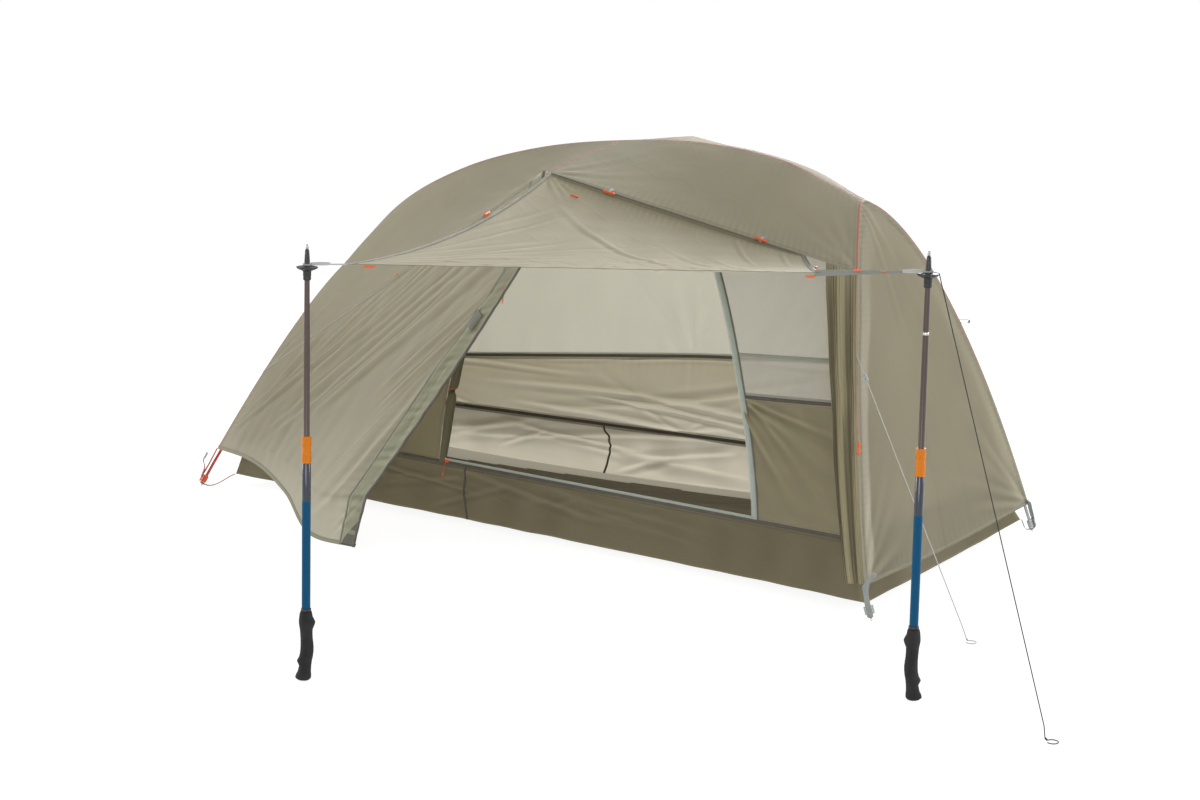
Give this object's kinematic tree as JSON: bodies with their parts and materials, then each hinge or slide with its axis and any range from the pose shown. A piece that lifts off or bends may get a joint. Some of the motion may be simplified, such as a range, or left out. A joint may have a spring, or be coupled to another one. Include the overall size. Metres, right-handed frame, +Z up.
{
  "type": "hiking tent",
  "caption": "Low double-wall hiking tent: hubbed pole frame, hung inner with tub floor, and a rainfly whose door panel is held out as an awning on walking poles.",
  "frame": {"origin": "on the ground under the middle of the floor, on the flat underside of the floor cloth", "axes": "+X to the head end, -Y to the door side, +Z up"},
  "size_m": [3.041, 2.134, 1.1006],
  "materials": {
    "fly_cloth": "coated ripstop, slight sheen",
    "awning_cloth": "coated ripstop lit from above",
    "floor_cloth": "coated taffeta",
    "wall_cloth": "breathable ripstop",
    "mesh_cloth": "insect mesh",
    "red_pole": "anodised red",
    "bare_metal": "bare turned",
    "grey_plastic": "moulded",
    "orange_plastic": "moulded",
    "red_webbing": "woven webbing",
    "grey_webbing": "woven webbing",
    "black_plastic": "moulded",
    "brown_shaft": "anodised dark brown",
    "blue_tube": "anodised blue",
    "collar_plastic": "translucent orange",
    "grip_foam": "foam",
    "white_cord": "braided cord",
    "black_cord": "braided cord"
  },
  "bodies": {
    "tent": {"spine_pole": "red_pole", "brow_pole": "red_pole", "brow_swivel": "grey_plastic", "head_hub": "grey_plastic", "foot_hub": "grey_plastic", "head_front_leg": "red_pole", "head_rear_leg": "red_pole", "foot_front_leg": "red_pole", "foot_rear_leg": "red_pole", "head_front_tip": "bare_metal", "head_front_buckle": "grey_plastic", "head_front_webbing": "grey_webbing", "head_rear_tip": "bare_metal", "head_rear_buckle": "grey_plastic", "head_rear_webbing": "grey_webbing", "foot_front_tip": "bare_metal", "foot_front_buckle": "orange_plastic", "foot_front_webbing": "red_webbing", "foot_rear_tip": "bare_metal", "foot_rear_buckle": "orange_plastic", "foot_rear_webbing": "red_webbing", "floor_tub": "floor_cloth", "inner_rear_mesh": "mesh_cloth", "inner_rear_wall": "wall_cloth", "inner_head_wall": "wall_cloth", "inner_foot_wall": "wall_cloth", "inner_front_mesh": "mesh_cloth", "inner_front_pocket": "wall_cloth", "inner_door_roll": "mesh_cloth", "foot_clip": "grey_plastic", "peak_clip": "grey_plastic", "head_clip": "grey_plastic", "fly_roof_head": "fly_cloth", "fly_roof_foot": "fly_cloth", "fly_head_wall": "fly_cloth", "fly_foot_wall": "fly_cloth", "fly_rear_wall": "fly_cloth", "vestibule_wall": "fly_cloth", "tied_door": "fly_cloth", "awning": "awning_cloth", "left_awning_strap": "grey_webbing", "right_awning_strap": "grey_webbing", "left_pole_shaft": "brown_shaft", "left_pole_tip": "black_plastic", "right_pole_shaft": "brown_shaft", "right_pole_tip": "black_plastic", "head_guyline": "white_cord", "pole_guyline": "black_cord"},
    "left_pole_lower": {"left_pole_grip": "grip_foam", "left_pole_tube": "blue_tube"},
    "right_pole_lower": {"right_pole_grip": "grip_foam", "right_pole_tube": "blue_tube"},
    "left_collar": {"left_pole_collar": "collar_plastic"},
    "right_collar": {"right_pole_collar": "collar_plastic"},
    "door_zip_slider": {"door_slider": "orange_plastic"},
    "vestibule_zip_slider": {"vestibule_slider": "orange_plastic"},
    "toggle_1": {"seam_toggle_1": "orange_plastic"},
    "toggle_2": {"seam_toggle_2": "orange_plastic"},
    "toggle_3": {"leg_toggle": "orange_plastic"},
    "tensioner": {"guy_tensioner": "grey_plastic"}
  },
  "joints": [
    {"name": "left_pole_telescope", "type": "slide", "parent": "tent", "child": "left_pole_lower", "axis": [0.0349, 0.0082, 0.9994], "range_m": [0, 0.335]},
    {"name": "right_pole_telescope", "type": "slide", "parent": "tent", "child": "right_pole_lower", "axis": [0.0082, 0.0031, 1], "range_m": [0, 0.335]},
    {"name": "left_collar_twist", "type": "hinge", "parent": "left_pole_lower", "child": "left_collar", "pos_m": [0.31438, -1.59368, 0.52606], "axis": [0.0349, 0.0082, 0.9994], "range_deg": [0, 180]},
    {"name": "right_collar_twist", "type": "hinge", "parent": "right_pole_lower", "child": "right_collar", "pos_m": [1.46833, -0.96238, 0.52638], "axis": [0.0082, 0.0031, 1], "range_deg": [0, 180]},
    {"name": "door_zip", "type": "slide", "parent": "tent", "child": "door_zip_slider", "axis": [0.9987, -0.0509, -0.0083], "range_m": [0, 0.98]},
    {"name": "vestibule_zip", "type": "slide", "parent": "tent", "child": "vestibule_zip_slider", "axis": [-0.526, -0.199, -0.8269], "range_m": [0, 0.6]},
    {"name": "toggle_1_swing", "type": "hinge", "parent": "tent", "child": "toggle_1", "pos_m": [0.27664, -0.35375, 0.9872], "axis": [-0.9307, -0.2492, 0.2677], "range_deg": [0, 110]},
    {"name": "toggle_2_swing", "type": "hinge", "parent": "tent", "child": "toggle_2", "pos_m": [0.67255, -0.24628, 0.87336], "axis": [-0.9307, -0.2492, 0.2677], "range_deg": [0, 75]},
    {"name": "toggle_3_swing", "type": "hinge", "parent": "tent", "child": "toggle_3", "pos_m": [1.03388, -0.3846, 0.405], "axis": [0.235, -0.3588, -0.9033], "range_deg": [-40, 40]},
    {"name": "tensioner_slide", "type": "slide", "parent": "tent", "child": "tensioner", "axis": [0.5458, -0.2928, -0.7851], "range_m": [0, 0.25]}
  ]
}
